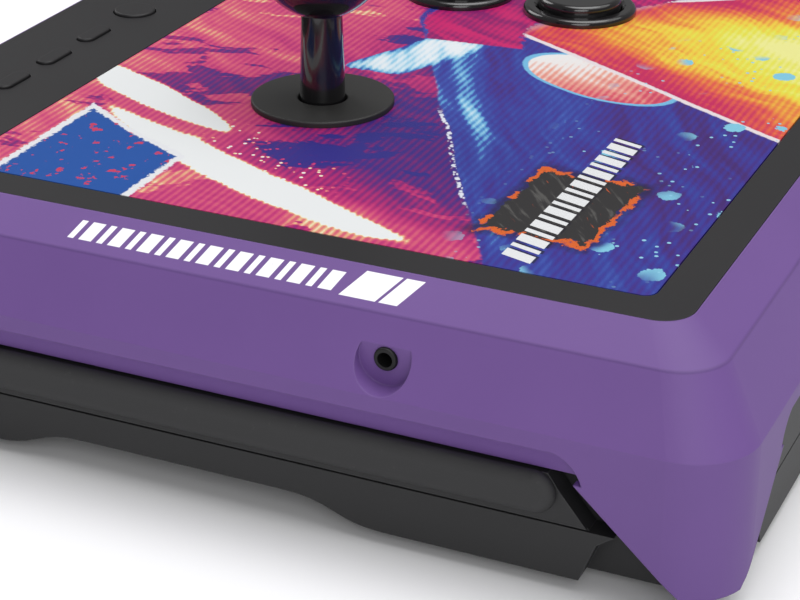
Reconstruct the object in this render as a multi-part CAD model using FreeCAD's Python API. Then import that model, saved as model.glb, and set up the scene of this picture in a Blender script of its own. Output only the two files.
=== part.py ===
import FreeCAD, Part
import math
import os

# Table-top arcade joystick controller: a hinged lid that carries the panel, lever and buttons,
# closed over a low base. Millimetres, +Z up, X to the player's right, -Y towards the player.
# The origin is at the bottom centre, on the table under the feet.

V = FreeCAD.Vector

# ---------------------------------------------------------------- driving dimensions
case_width = 403.0
case_depth = 270.0
panel_height = 62.0            # top of the printed panel above the table
ball_rise = 41.5               # centre of the ball top above the panel

# outer form of the lid's skirt: each level is inset from the widest outline
skirt_bottom = 6.0
crease_drop = 6.0              # crease below the panel
waist_drop = 22.0              # below this the skirt is upright
crease_inset = 9.3
bezel_inset = 19.4
corner_radii = (16.0, 12.0, 8.0)
cover_wall = 2.5
opening_inset = 36.8           # upper end of each side opening, from the lid's corner
lid_gap = 0.8                  # between the base's blocks and the lid
opening_slope = 25.8           # how far each opening's end runs out on its way down
cove_rise = 6.4                # finger scoop above each side opening
cove_depth = 4.0
cove_end = 11.7
shelf_inset = 25.0             # inner edge of the shelf that carries the frame
shelf_drop = 2.5               # top of the shelf below the panel
shelf_thickness = 2.5

# panel stack
art_inset = 30.2               # edge of the printed panel, front and sides
strip_depth = 28.2             # control strip between the panel and the rear bezel
art_radius = 3.0
art_thickness = 1.2
plate_thickness = 1.6
panel_gap = 0.4
frame_gap = 0.2
ledge_width = 7.0
ledge_thickness = 2.5

# base
feet_height = 3.6
tray_top = 16.4
base_top = 28.9
base_inset = 9.0
base_rear_inset = 9.5
base_wall = 2.5
base_radius = 8.0
cheek_inset = 3.2              # faces of the side and front blocks
floor_thickness = 2.5
block_inset = 33.4             # lower end of each block, from the lid's corner
block_rake = 7.1
cheek_inset_end = 28.0
arch_rise = 5.1
arch_flat = 28.0               # half length of the arch's flat
arch_run = 24.0
pad_inset = 41.0
pad_rise = 2.3                 # grip pad's foot above the tray
pad_height = 10.5
pad_bulge = 2.5
foot_radius = 13.0
foot_edge = 36.0

# hinge and latch
hinge_height = 8.0
hinge_inset = 4.0
hinge_pin_radius = 1.5
hinge_play = 0.05
hinge_knuckle_radius = 3.6
hinge_from_side = 91.5
hinge_arm_width = 8.0
hinge_knuckle_width = 8.0
side_play = 0.4
latch_width = 42.0
latch_height = 8.0
latch_play = 0.4

# lever
lever_from_left = 76.2         # from the printed panel's left edge
lever_from_rear = 63.9         # from the printed panel's rear edge
lever_tilt = 8.0
pivot_drop = 30.0              # tilt axes below the panel
washer_radius = 19.0
washer_thickness = 1.6
cover_radius = 6.0             # shaft cover
cover_top_radius = 5.4
cover_length = 29.0
washer_play = 0.5
shaft_radius = 3.0
ball_radius = 17.5
lever_hole_play = 0.85
slide_gap = 0.3
slide_thickness = 2.0
lever_plate_thickness = 2.0
lever_plate_length = 96.0
lever_plate_width = 60.0
lever_flange = 16.0
housing_wall = 3.0
housing_depth = 8.0            # housing's foot below the tilt axes
ring_radius = 14.5
ring_inner = 10.2
ring_height = 8.0
trunnion_radius = 2.0
running_play = 0.05
boss_radius = 7.5
actuator_radius = 7.5
actuator_length = 9.6
gate_thickness = 3.0
switch_board_thickness = 1.6
switch_gap = 3.4               # actuator to switch body
switch_width = 6.5

# main buttons
button_hole_radius = 15.0
button_hole_play = 0.3
button_rim_overlap = 1.7
button_rim_height = 2.2
button_wall = 2.2
button_cap_play = 0.3
button_proud = 2.8             # cap top above the rim
button_travel = 2.6
button_depth = 18.0
button_from_lever = 99.8
button_spacing = 0.7           # between the nuts of two neighbours
button_row_extra = 3.0         # rows stand this much wider apart than columns
first_button_drop = 35.5       # lower row's first button, below the lever's centre
button_steps = (0.0, 18.0, 18.0, 9.0)
nut_wall = 2.65
nut_height = 6.0

# control strip
key_travel = 0.8
key_play = 0.35
key_proud = 0.8
pill_length = 13.0
pill_width = 5.0
home_radius = 6.0
touch_length = 46.0
touch_width = 22.0
slider_travel = 5.0
board_drop = 7.1               # function board below the frame
board_thickness = 1.6
main_board_drop = 10.0

# sockets
jack_from_front = 82.9         # from the lid's widest front line
jack_drop = 15.1               # below the panel
jack_radius = 1.8
jack_ring_radius = 2.75
jack_depth = 15.0
recess_radius = 6.7
recess_flat = 3.2
recess_wall = 2.0
usb_from_centre = 62.0
usb_width = 8.94
usb_thickness = 3.2
usb_length = 8.0
usb_pocket_width = 15.0
usb_pocket_height = 8.0

# ---------------------------------------------------------------- derived places
half_width = case_width / 2
half_depth = case_depth / 2
crease_height = panel_height - crease_drop
waist_height = panel_height - waist_drop
opening_top = base_top + lid_gap
cove_top = opening_top + cove_rise
shelf_top = panel_height - shelf_drop
shelf_bottom = shelf_top - shelf_thickness
pad_bottom = tray_top + pad_rise
pad_top = pad_bottom + pad_height
latch_level = (tray_top + base_top) / 2
ball_height = panel_height + ball_rise
pivot_height = panel_height - pivot_drop
lever_swing = math.tan(math.radians(lever_tilt)) * pivot_drop
lever_hole_radius = cover_radius + math.sqrt(2) * lever_swing + lever_hole_play
switch_reach = actuator_radius + switch_gap
housing_size = 2 * (switch_reach + switch_width + 0.6 + housing_wall)
housing_bottom = pivot_height - housing_depth
actuator_top = housing_bottom - 0.4
actuator_bottom = actuator_top - actuator_length
gate_top = actuator_bottom - 1.4
gate_bottom = gate_top - gate_thickness
button_body_radius = button_hole_radius - button_hole_play
button_rim_radius = button_hole_radius + button_rim_overlap
button_bore = button_body_radius - button_wall
button_cap_radius = button_bore - button_cap_play
button_floor = panel_height - button_depth
nut_radius = button_body_radius + running_play + nut_wall
button_pitch = 2 * nut_radius + button_spacing
button_row = button_pitch + button_row_extra
jack_height = panel_height - jack_drop
frame_inset = bezel_inset + frame_gap
art_left = -half_width + art_inset
art_right = half_width - art_inset
art_front = -half_depth + art_inset
art_rear = half_depth - art_inset - strip_depth
strip_middle = (art_rear + half_depth - frame_inset) / 2
plate_top = panel_height - art_thickness
plate_bottom = plate_top - plate_thickness
ledge_bottom = plate_bottom - ledge_thickness
board_top = ledge_bottom - board_drop
main_board_top = board_top - main_board_drop
usb_height = board_top - board_thickness - usb_thickness / 2
lever_x = art_left + lever_from_left
lever_y = art_rear - lever_from_rear
lever_top = panel_height + washer_thickness
hinge_y = half_depth - hinge_inset
rear_wall_y = half_depth - base_rear_inset
slope = crease_inset / (crease_height - waist_height)

profile = [(0.0, skirt_bottom), (0.0, waist_height),
           (crease_inset, crease_height), (bezel_inset, panel_height)]


# ---------------------------------------------------------------- shape helpers
def save(name, shapes):
    parts = shapes if isinstance(shapes, list) else [shapes]
    shape = parts[0] if len(parts) == 1 else Part.makeCompound(parts)
    if not shape.isValid():
        print("invalid shape:", name)
    shape.exportStep("parts/" + name + ".step")
    print(name, len(shape.Solids), round(shape.Volume))


def block(x0, x1, y0, y1, z0, z1):
    return Part.makeBox(x1 - x0, y1 - y0, z1 - z0, V(x0, y0, z0))


def rod(radius, start, end):
    way = V(*end) - V(*start)
    return Part.makeCylinder(radius, way.Length, V(*start), way)


def tube(outer, inner, start, end):
    return rod(outer, start, end).cut(rod(inner, start, end))


def cone(r0, r1, x, y, z0, z1):
    return Part.makeCone(r0, r1, z1 - z0, V(x, y, z0), V(0, 0, 1))


def rounded_wire(x0, x1, y0, y1, r, z):
    s = r * (1 - math.sqrt(0.5))
    corners = [
        (V(x1 - r, y0, z), V(x1 - s, y0 + s, z), V(x1, y0 + r, z)),
        (V(x1, y1 - r, z), V(x1 - s, y1 - s, z), V(x1 - r, y1, z)),
        (V(x0 + r, y1, z), V(x0 + s, y1 - s, z), V(x0, y1 - r, z)),
        (V(x0, y0 + r, z), V(x0 + s, y0 + s, z), V(x0 + r, y0, z)),
    ]
    edges = []
    for i, (a, m, b) in enumerate(corners):
        edges.append(Part.Arc(a, m, b).toShape())
        edges.append(Part.makeLine(b, corners[(i + 1) % 4][0]))
    return Part.Wire(edges)


def rounded_block(x0, x1, y0, y1, r, z0, z1):
    return Part.Face(rounded_wire(x0, x1, y0, y1, r, z0)).extrude(V(0, 0, z1 - z0))


def inset_block(inset, r, z0, z1, rear=None):
    rear = inset if rear is None else rear
    return rounded_block(-half_width + inset, half_width - inset,
                         -half_depth + inset, half_depth - rear, r, z0, z1)


def polygon(points):
    return Part.Wire(Part.makePolygon(points + [points[0]]).Edges)


def slab_yz(points, x0, x1):
    """A flat slab with an outline in the YZ plane."""
    return Part.Face(polygon([V(x0, y, z) for y, z in points])).extrude(V(x1 - x0, 0, 0))


def at_height(z):
    return lambda edge: abs(edge.BoundBox.ZMin - z) < 1e-6 and edge.BoundBox.ZLength < 1e-6


def lofted_skirt(levels, radii):
    """Ruled body through one rounded outline per (inset, height) level."""
    parts = []
    for (i0, z0), (i1, z1), r0, r1 in zip(levels, levels[1:], radii, radii[1:]):
        wires = [rounded_wire(-half_width + i, half_width - i, -half_depth + i, half_depth - i, r, z)
                 for i, z, r in ((i0, z0, r0), (i1, z1, r1))]
        parts.append(Part.makeLoft(wires, True, True))
    body = parts[0]
    for part in parts[1:]:
        body = body.fuse(part)
    return body


def place_on(side, shape):
    """Moves a shape drawn against the +X wall (wall line at x = 0) onto one side of the case."""
    turn = {"right": 0, "left": 180, "front": -90, "rear": 90}[side]
    reach = half_width if side in ("right", "left") else half_depth
    copy = shape.copy()
    copy.translate(V(reach, 0, 0))
    copy.rotate(V(0, 0, 0), V(0, 0, 1), turn)
    return copy


def wall_half(side):
    return half_depth if side in ("right", "left") else half_width


# ---------------------------------------------------------------- lid: cover
def inner_profile():
    """The skirt's profile moved in by the wall, with the corners where the moved lines cross."""
    lines = []
    for (i0, z0), (i1, z1) in zip(profile, profile[1:]):
        length = math.hypot(i1 - i0, z1 - z0)
        ni, nz = (z1 - z0) / length, -(i1 - i0) / length
        lines.append((i0 + ni * cover_wall, z0 + nz * cover_wall, (i1 - i0), (z1 - z0)))
    points = []
    for (ai, az, ui, uz), (bi, bz, wi, wz) in zip(lines, lines[1:]):
        t = ((bi - ai) * wz - (bz - az) * wi) / (ui * wz - uz * wi)
        points.append((ai + t * ui, az + t * uz))
    (ci, cz, wi, wz) = lines[-1]
    t = (shelf_bottom - cz) / wz
    points.append((ci + t * wi, shelf_bottom))
    return points


def opening_outline(half, margin=0.0):
    top = half - opening_inset + margin
    low = top + opening_slope
    drop = opening_slope / (opening_top - skirt_bottom)
    return [(-top, opening_top), (top, opening_top),
            (low + drop * 2, skirt_bottom - 2), (-low - drop * 2, skirt_bottom - 2)]


def cove_cutter(half):
    """Concave scoop above an opening, with rounded ends."""
    end = half - opening_inset + 2.6
    rise = cove_top - opening_top
    top = V(0, 0, cove_top)
    foot = V(-cove_depth, 0, opening_top - 0.5)
    middle = V(-cove_depth * 0.72, 0, opening_top + rise * 0.42)
    edges = [Part.Arc(top, middle, foot).toShape(),
             Part.makeLine(foot, V(1, 0, opening_top - 0.5)),
             Part.makeLine(V(1, 0, opening_top - 0.5), V(1, 0, cove_top + 0.2)),
             Part.makeLine(V(1, 0, cove_top + 0.2), top)]
    scoop = Part.Face(Part.Wire(edges)).extrude(V(0, 2 * end, 0))
    scoop.translate(V(0, -end, 0))
    mask = Part.Face(Part.Wire([
        Part.makeLine(V(-8, -end, opening_top - 1), V(-8, end, opening_top - 1)),
        Part.Arc(V(-8, end, opening_top - 1),
                 V(-8, end - cove_end * 0.3, opening_top + rise * 0.72),
                 V(-8, end - cove_end, cove_top + 0.1)).toShape(),
        Part.makeLine(V(-8, end - cove_end, cove_top + 0.1), V(-8, -end + cove_end, cove_top + 0.1)),
        Part.Arc(V(-8, -end + cove_end, cove_top + 0.1),
                 V(-8, -end + cove_end * 0.3, opening_top + rise * 0.72),
                 V(-8, -end, opening_top - 1)).toShape()])).extrude(V(12, 0, 0))
    return scoop.common(mask)


def cove_backing(half):
    """Thickens the wall behind a scoop."""
    end = half - opening_inset + 2.6 + cover_wall
    deep = cove_depth + cover_wall
    outline = [V(-cover_wall + 0.3, -end, opening_top), V(-deep, -end, opening_top),
               V(-deep, -end, cove_top), V(-cover_wall + 0.3, -end, cove_top + deep)]
    return Part.Face(polygon(outline)).extrude(V(0, 2 * end, 0))


def jack_place():
    back = half_width - slope * (jack_height + recess_flat - waist_height)
    return -back, -half_depth + jack_from_front


def usb_back():
    return half_depth - slope * (usb_height + usb_pocket_height / 2 - waist_height) - 1.5


def make_top_cover():
    outer = lofted_skirt(profile, (corner_radii[0], corner_radii[0], corner_radii[1], corner_radii[2]))
    levels = inner_profile()
    start = (levels[0][0], skirt_bottom - 1)
    radii = [corner_radii[0] - cover_wall] * 2 + [corner_radii[1] - 1.0, corner_radii[1] - 2.0]
    inner = lofted_skirt([start] + levels, radii)
    cover = outer.cut(inner)
    cover = cover.cut(inset_block(shelf_inset, 5.0, shelf_bottom - 1, shelf_top + 1))
    cover = cover.cut(inset_block(bezel_inset, corner_radii[2], shelf_top, panel_height + 1))
    for side in ("left", "right", "front"):
        cover = cover.fuse(place_on(side, cove_backing(wall_half(side))).common(outer))
    jack_x, jack_y = jack_place()
    usb_y = usb_back()
    cover = cover.fuse(rod(recess_radius + recess_wall, (jack_x + recess_wall, jack_y, jack_height),
                           (jack_x - 10, jack_y, jack_height)).common(outer))
    usb_boss = block(usb_from_centre - usb_pocket_width / 2 - 2, usb_from_centre + usb_pocket_width / 2 + 2,
                     usb_y - 2.4, usb_y + 10, usb_height - usb_pocket_height / 2 - 2,
                     usb_height + usb_pocket_height / 2 + 2)
    cover = cover.fuse(usb_boss.common(outer))
    for side in ("left", "right", "front", "rear"):
        half = wall_half(side)
        cover = cover.cut(place_on(side, slab_yz(opening_outline(half), -14, 4)))
        if side != "rear":
            cover = cover.cut(place_on(side, cove_cutter(half)))
    cover = cover.cut(rod(recess_radius, (jack_x, jack_y, jack_height), (jack_x - 20, jack_y, jack_height)))
    cover = cover.cut(rod(jack_ring_radius + 0.1, (jack_x + 5, jack_y, jack_height),
                          (jack_x - 1, jack_y, jack_height)))
    pocket = block(usb_from_centre - usb_pocket_width / 2, usb_from_centre + usb_pocket_width / 2, usb_y,
                   usb_y + 20, usb_height - usb_pocket_height / 2, usb_height + usb_pocket_height / 2)
    pocket = pocket.makeFillet(2.0, [e for e in pocket.Edges if e.BoundBox.YLength > 10])
    cover = cover.cut(pocket)
    cover = cover.cut(block(usb_from_centre - usb_width / 2 - 0.15, usb_from_centre + usb_width / 2 + 0.15,
                            usb_y - 5, usb_y + 1, usb_height - usb_thickness / 2 - 0.15,
                            usb_height + usb_thickness / 2 + 0.15))
    room = 0.3
    cover = cover.cut(block(jack_x + recess_wall, jack_x + 16, jack_y - jack_body_width / 2 - room,
                            jack_y + jack_body_width / 2 + room, jack_height - jack_body_below,
                            jack_height + jack_body_above + room))
    for x, y in frame_screw_places():
        cover = cover.cut(rod(frame_screw_radius + 0.2, (x, y, shelf_bottom - 1), (x, y, shelf_top + 1)))
    for y in jack_post_places():
        cover = cover.fuse(rod(jack_post_radius, (jack_post_x(), y, jack_board_top()),
                               (jack_post_x(), y, shelf_bottom)))
    return cover.removeSplitter()


# ---------------------------------------------------------------- lid: frame, plate, printed panel
frame_screw_radius = 1.4
frame_screw_head = 2.6


def frame_screw_places():
    inset = (shelf_inset + bezel_inset) / 2
    x, y = half_width - inset, half_depth - inset
    places = [(sx * x, sy * (half_depth - 52)) for sx in (-1, 1) for sy in (-1, 1)]
    places += [(sx * (half_width - 68), sy * y) for sx in (-1, 1) for sy in (-1, 1)]
    places += [(sx * 38.0, sy * y) for sx in (-1, 1) for sy in (-1, 1)]
    return places


def key_places():
    """Small keys on the control strip: name, x, y."""
    left = art_left + 34
    pitch = pill_length + 8.0
    return [("left_key_%d" % (i + 1), left + i * pitch, strip_middle) for i in range(4)]


def home_place():
    return art_left + 34 + 4 * (pill_length + 8.0) + 2, strip_middle


def touch_place():
    return art_left + 34 + 4 * (pill_length + 8.0) + 52, strip_middle


def slider_places():
    right = art_right - 26
    return [("lock_slider", right, strip_middle), ("mode_slider", right - 34, strip_middle)]


def light_places():
    return [(art_right - 92 - i * 7.0, strip_middle) for i in range(4)]


def pill(x, y, length, width, z0, z1):
    return rounded_block(x - length / 2, x + length / 2, y - width / 2, y + width / 2,
                         width / 2 - 0.01, z0, z1)


light_radius = 1.1
board_post_radius = 3.0


def board_post_places():
    columns = (art_left + 16, art_left + 109, art_right - 77, art_right - 9)
    return [(x, strip_middle + sy * 11.0) for x in columns for sy in (-1, 1)]


def make_top_frame():
    frame = inset_block(frame_inset, corner_radii[2] - frame_gap, shelf_top, panel_height)
    frame = frame.fuse(inset_block(shelf_inset + 0.5, 4.5, ledge_bottom, shelf_top))
    pocket = rounded_block(art_left - panel_gap, art_right + panel_gap, art_front - panel_gap,
                           art_rear + panel_gap, art_radius + panel_gap, plate_bottom, panel_height + 1)
    window = rounded_block(art_left + ledge_width, art_right - ledge_width, art_front + ledge_width,
                           art_rear - ledge_width, art_radius, ledge_bottom - 1, plate_bottom + 1)
    frame = frame.cut(pocket).cut(window)
    for name, x, y in key_places():
        frame = frame.cut(pill(x, y, pill_length + 2 * key_play, pill_width + 2 * key_play,
                               ledge_bottom - 1, panel_height + 1))
    x, y = home_place()
    frame = frame.cut(rod(home_radius + key_play, (x, y, ledge_bottom - 1), (x, y, panel_height + 1)))
    x, y = touch_place()
    frame = frame.cut(rounded_block(x - touch_length / 2 - key_play, x + touch_length / 2 + key_play,
                                    y - touch_width / 2 - key_play, y + touch_width / 2 + key_play,
                                    3.0 + key_play, ledge_bottom - 1, panel_height + 1))
    for name, x, y in slider_places():
        frame = frame.cut(pill(x + slider_travel / 2, y, slider_travel + 5.6, 4.6,
                               ledge_bottom - 1, panel_height + 1))
    for x, y in light_places():
        frame = frame.cut(rod(light_radius + 0.05, (x, y, ledge_bottom - 1), (x, y, panel_height + 1)))
    for x, y in board_post_places():
        frame = frame.fuse(rod(board_post_radius, (x, y, board_top), (x, y, ledge_bottom)))
    for x, y in frame_screw_places():
        frame = frame.cut(rod(frame_screw_radius + 0.05, (x, y, shelf_top - 1), (x, y, panel_height - 1.0)))
    return frame.removeSplitter()


def make_frame_screws():
    screws = []
    for x, y in frame_screw_places():
        head = rod(frame_screw_head, (x, y, shelf_bottom - 2.0), (x, y, shelf_bottom))
        screws.append(head.fuse(rod(frame_screw_radius, (x, y, shelf_bottom), (x, y, panel_height - 1.1))))
    return screws


def button_places():
    places = []
    for row in (0, 1):
        for column in range(4):
            x = lever_x + button_from_lever + column * button_pitch
            y = lever_y - first_button_drop + (1 - row) * button_row + button_steps[column]
            places.append((x, y))
    return places


def lever_screw_places():
    return [(lever_x + sx * (lever_plate_length / 2 - 7), lever_y + sy * (lever_plate_width / 2 - 9))
            for sx in (-1, 1) for sy in (-1, 1)]


lever_screw_radius = 2.0


def panel_holes(shape):
    for x, y in button_places():
        shape = shape.cut(rod(button_hole_radius, (x, y, plate_bottom - 1), (x, y, panel_height + 1)))
    return shape.cut(rod(lever_hole_radius, (lever_x, lever_y, plate_bottom - 1),
                         (lever_x, lever_y, panel_height + 1)))


def make_art_panel():
    sheet = rounded_block(art_left, art_right, art_front, art_rear, art_radius, plate_top, panel_height)
    return panel_holes(sheet)


def make_top_plate():
    sheet = rounded_block(art_left, art_right, art_front, art_rear, art_radius, plate_bottom, plate_top)
    sheet = panel_holes(sheet)
    for x, y in lever_screw_places():
        sheet = sheet.cut(rod(lever_screw_radius + 0.1, (x, y, plate_bottom - 1), (x, y, plate_top + 1)))
    return sheet


# ---------------------------------------------------------------- lid: hinge arms and striker
def hinge_places():
    return [-half_width + hinge_from_side, half_width - hinge_from_side]


def make_hinge_arms():
    arms = []
    inner = half_depth - cover_wall
    for x in hinge_places():
        x0, x1 = x - hinge_arm_width / 2, x + hinge_arm_width / 2
        arm = block(x0, x1, hinge_y - hinge_knuckle_radius, inner, hinge_height, waist_height - 2)
        arm = arm.fuse(rod(hinge_knuckle_radius, (x0, hinge_y, hinge_height), (x1, hinge_y, hinge_height)))
        arm = arm.fuse(block(x - 14, x + 14, inner - 2.2, inner, opening_top + 1, waist_height - 2))
        arm = arm.cut(rod(hinge_pin_radius + hinge_play, (x0 - 1, hinge_y, hinge_height),
                          (x1 + 1, hinge_y, hinge_height)))
        trim = block(x0 - 1, x1 + 1, hinge_y + hinge_knuckle_radius, inner + 5, 0, opening_top + 1)
        arms.append(arm.cut(trim).removeSplitter())
    return arms


def striker_y():
    return -half_depth + shelf_inset - 5.0


def make_latch_striker():
    y = striker_y()
    plate = block(-11, 11, y, y + 2.5, latch_level - 7, shelf_bottom)
    plate = plate.fuse(block(-16, 16, y - 2, y + 5, shelf_bottom - 2.5, shelf_bottom))
    window = block(-6.5, 6.5, y - 1, y + 4, latch_level - 3, latch_level + 3)
    return plate.cut(window)


# ---------------------------------------------------------------- lid: sockets and boards
jack_post_radius = 2.5
jack_body_width = 12.0
jack_body_below = 4.8
jack_body_above = 4.1


def jack_board_top():
    return jack_height - jack_body_below


def jack_post_x():
    return -half_width + (shelf_inset + bezel_inset) / 2 - 0.8


def jack_post_places():
    y = jack_place()[1]
    return [y + s * (jack_body_width / 2 + 3.6) for s in (-1, 1)]


def make_jack_socket():
    x, y = jack_place()
    start = x + recess_wall
    body = block(start, start + 12.0, y - jack_body_width / 2, y + jack_body_width / 2,
                 jack_height - jack_body_below, jack_height + jack_body_above)
    barrel = rod(jack_ring_radius, (start, y, jack_height), (x - 0.8, y, jack_height))
    barrel = barrel.makeFillet(0.4, [e for e in barrel.Edges if abs(e.BoundBox.XMin - (x - 0.8)) < 1e-6
                                     and e.BoundBox.XLength < 1e-6])
    socket = body.fuse(barrel)
    return socket.cut(rod(jack_radius, (x - 2, y, jack_height), (x - 0.8 + jack_depth, y, jack_height)))


def make_jack_board():
    x, y = jack_place()
    top = jack_board_top()
    return block(x + recess_wall + 0.5, jack_post_x() + 4, y - 13, y + 13, top - board_thickness, top)


def usb_board_reach():
    return usb_back() - 2.4


def make_usb_socket():
    y = usb_back() - 0.2
    x0, x1 = usb_from_centre - usb_width / 2, usb_from_centre + usb_width / 2
    z0, z1 = usb_height - usb_thickness / 2, usb_height + usb_thickness / 2
    can = block(x0, x1, y - usb_length, y, z0, z1)
    can = can.makeFillet(1.2, [e for e in can.Edges if e.BoundBox.YLength > 5])
    hollow = block(x0 + 0.3, x1 - 0.3, y - usb_length + 1.0, y + 1, z0 + 0.3, z1 - 0.3)
    hollow = hollow.makeFillet(1.0, [e for e in hollow.Edges if e.BoundBox.YLength > 5])
    tongue = block(x0 + 1.2, x1 - 1.2, y - usb_length + 0.5, y - 1.0, usb_height - 0.35, usb_height + 0.35)
    return can.cut(hollow).fuse(tongue)


def make_function_board():
    rear = strip_middle + 15
    board = block(art_left + 8, art_right - 4, strip_middle - 15, rear,
                  board_top - board_thickness, board_top)
    board = board.fuse(block(usb_from_centre - 10, usb_from_centre + 10, rear, usb_board_reach(),
                             board_top - board_thickness, board_top))
    return board.removeSplitter()


tact_size = 6.0
tact_height = 1.4


def make_function_switches():
    places = [(x, y) for _, x, y in key_places()] + [home_place(), touch_place()]
    switches = []
    for x, y in places:
        body = block(x - tact_size / 2, x + tact_size / 2, y - tact_size / 2, y + tact_size / 2,
                     board_top, board_top + tact_height - 0.3)
        switches.append(body.fuse(rod(1.6, (x, y, board_top), (x, y, board_top + tact_height))))
    for _, x, y in slider_places():
        switches.append(block(x - 4, x + slider_travel + 4, y - 3, y + 3, board_top, board_top + 2.2))
    return switches


spacer_radius = 2.5


def spacer_places():
    x0, x1 = main_board_ends()
    return [(x, strip_middle + s * 10) for x in (x0 + 6, x1 - 6) for s in (-1, 1)]


def main_board_ends():
    return art_left + 60, art_left + 170


def make_main_board():
    x0, x1 = main_board_ends()
    top = main_board_top
    board = block(x0, x1, strip_middle - 14, strip_middle + 14, top - board_thickness, top)
    middle = (x0 + x1) / 2
    chips = [block(middle - 7, middle + 7, strip_middle - 7, strip_middle + 7, top, top + 1.4),
             block(middle + 16, middle + 24, strip_middle - 4, strip_middle + 4, top, top + 1.2),
             block(middle - 40, middle - 22, strip_middle - 12, strip_middle - 6, top, top + 6),
             block(middle + 20, middle + 38, strip_middle - 12, strip_middle - 6, top, top + 6)]
    return [board] + chips


def make_board_spacers():
    return [rod(spacer_radius, (x, y, main_board_top), (x, y, board_top - board_thickness))
            for x, y in spacer_places()]


def make_light_windows():
    return [rod(light_radius, (x, y, board_top + 0.1), (x, y, panel_height)) for x, y in light_places()]


# ---------------------------------------------------------------- lid: main buttons
def make_button_housing(x, y):
    rim_top = panel_height + button_rim_height
    rim = rod(button_rim_radius, (x, y, panel_height), (x, y, rim_top))
    rim = rim.makeFillet(1.4, [e for e in rim.Edges if at_height(rim_top)(e)])
    body = rim.fuse(rod(button_body_radius, (x, y, button_floor), (x, y, panel_height)))
    body = body.cut(rod(button_bore, (x, y, button_floor + 2), (x, y, rim_top + 1)))
    body = body.cut(cone(button_bore, button_bore + 1.0, x, y, rim_top - 1.0, rim_top + 0.0001))
    slot = block(x - 6.6, x + 6.6, y - 3.5, y + 3.5, button_floor - 1, button_floor + 3)
    return body.cut(slot)


def make_button_nut(x, y):
    nut = tube(nut_radius, button_body_radius + running_play, (x, y, plate_bottom - nut_height),
               (x, y, plate_bottom))
    for i in range(8):
        angle = math.radians(45 * i)
        notch = Part.makeCylinder(1.6, nut_height + 2,
                                  V(x + (nut_radius + 0.6) * math.cos(angle),
                                    y + (nut_radius + 0.6) * math.sin(angle),
                                    plate_bottom - nut_height - 1))
        nut = nut.cut(notch)
    return nut


def make_button_switch(x, y):
    body = block(x - 6.4, x + 6.4, y - 3.25, y + 3.25, button_floor - 9, button_floor + 2)
    tip = block(x - 1.2, x + 1.2, y - 1.5, y + 1.5, button_floor + 2, button_floor + 3)
    legs = [block(x + s * 4.0 - 0.3, x + s * 4.0 + 0.3, y - 1.6, y + 1.6,
                  button_floor - 13.5, button_floor - 9)
            for s in (-1, 1)]
    return body.fuse(tip).fuse(legs[0]).fuse(legs[1])


def make_button_cap(x, y):
    top = panel_height + button_rim_height + button_proud
    bottom = button_floor + 3 + button_travel + 0.4
    cap = rod(button_cap_radius, (x, y, bottom), (x, y, top))
    cap = cap.makeFillet(1.5, [e for e in cap.Edges if at_height(top)(e)])
    return cap.cut(rod(button_cap_radius - 2.0, (x, y, bottom - 1), (x, y, bottom + 5)))


# ---------------------------------------------------------------- lid: keys and sliders
flange_top = ledge_bottom - 0.3
flange_thickness = 1.2


def key_bottom():
    return board_top + tact_height + key_travel + 0.15


def key_solid(cap, x, y, flange_x, flange_y):
    flange = block(x - flange_x, x + flange_x, y - flange_y, y + flange_y,
                   flange_top - flange_thickness, flange_top)
    stem = rod(1.5, (x, y, key_bottom()), (x, y, flange_top - flange_thickness))
    return cap.fuse(flange).fuse(stem)


def rounded_top(shape, radius, top):
    return shape.makeFillet(radius, [e for e in shape.Edges if at_height(top)(e)])


def make_key(x, y):
    top = panel_height + key_proud
    cap = rounded_top(pill(x, y, pill_length, pill_width, flange_top, top), 0.5, top)
    return key_solid(cap, x, y, pill_length / 2 + 1.2, pill_width / 2 + 1.2)


def make_home_key():
    x, y = home_place()
    top = panel_height + key_proud
    cap = rounded_top(rod(home_radius, (x, y, flange_top), (x, y, top)), 0.6, top)
    return key_solid(cap, x, y, home_radius + 1.0, home_radius + 1.0)


def make_touch_pad():
    x, y = touch_place()
    top = panel_height + 0.4
    cap = rounded_block(x - touch_length / 2, x + touch_length / 2, y - touch_width / 2,
                        y + touch_width / 2, 3.0, flange_top, top)
    return key_solid(rounded_top(cap, 0.3, top), x, y, touch_length / 2 + 1.2, touch_width / 2 + 1.2)


def make_slider(x, y):
    top = panel_height + 1.0
    knob = rounded_top(pill(x, y, 5.0, 4.0, flange_top, top), 0.4, top)
    grip = block(x - 0.4, x + 0.4, y - 3, y + 3, top - 0.4, top + 1)
    flange = block(x - 5.5, x + 5.5, y - 4.2, y + 4.2, flange_top - flange_thickness, flange_top)
    stem = block(x - 0.8, x + 0.8, y - 0.8, y + 0.8, board_top + 2.2 + 0.2, flange_top - flange_thickness)
    return knob.cut(grip).fuse(flange).fuse(stem)


# ---------------------------------------------------------------- lever
def lever_point(z):
    return (lever_x, lever_y, z)


lever_plate_top = plate_bottom - slide_gap - slide_thickness - slide_gap
lever_plate_low = lever_plate_top - lever_plate_thickness
slide_bore = cover_radius + lever_swing + 0.8


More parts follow.
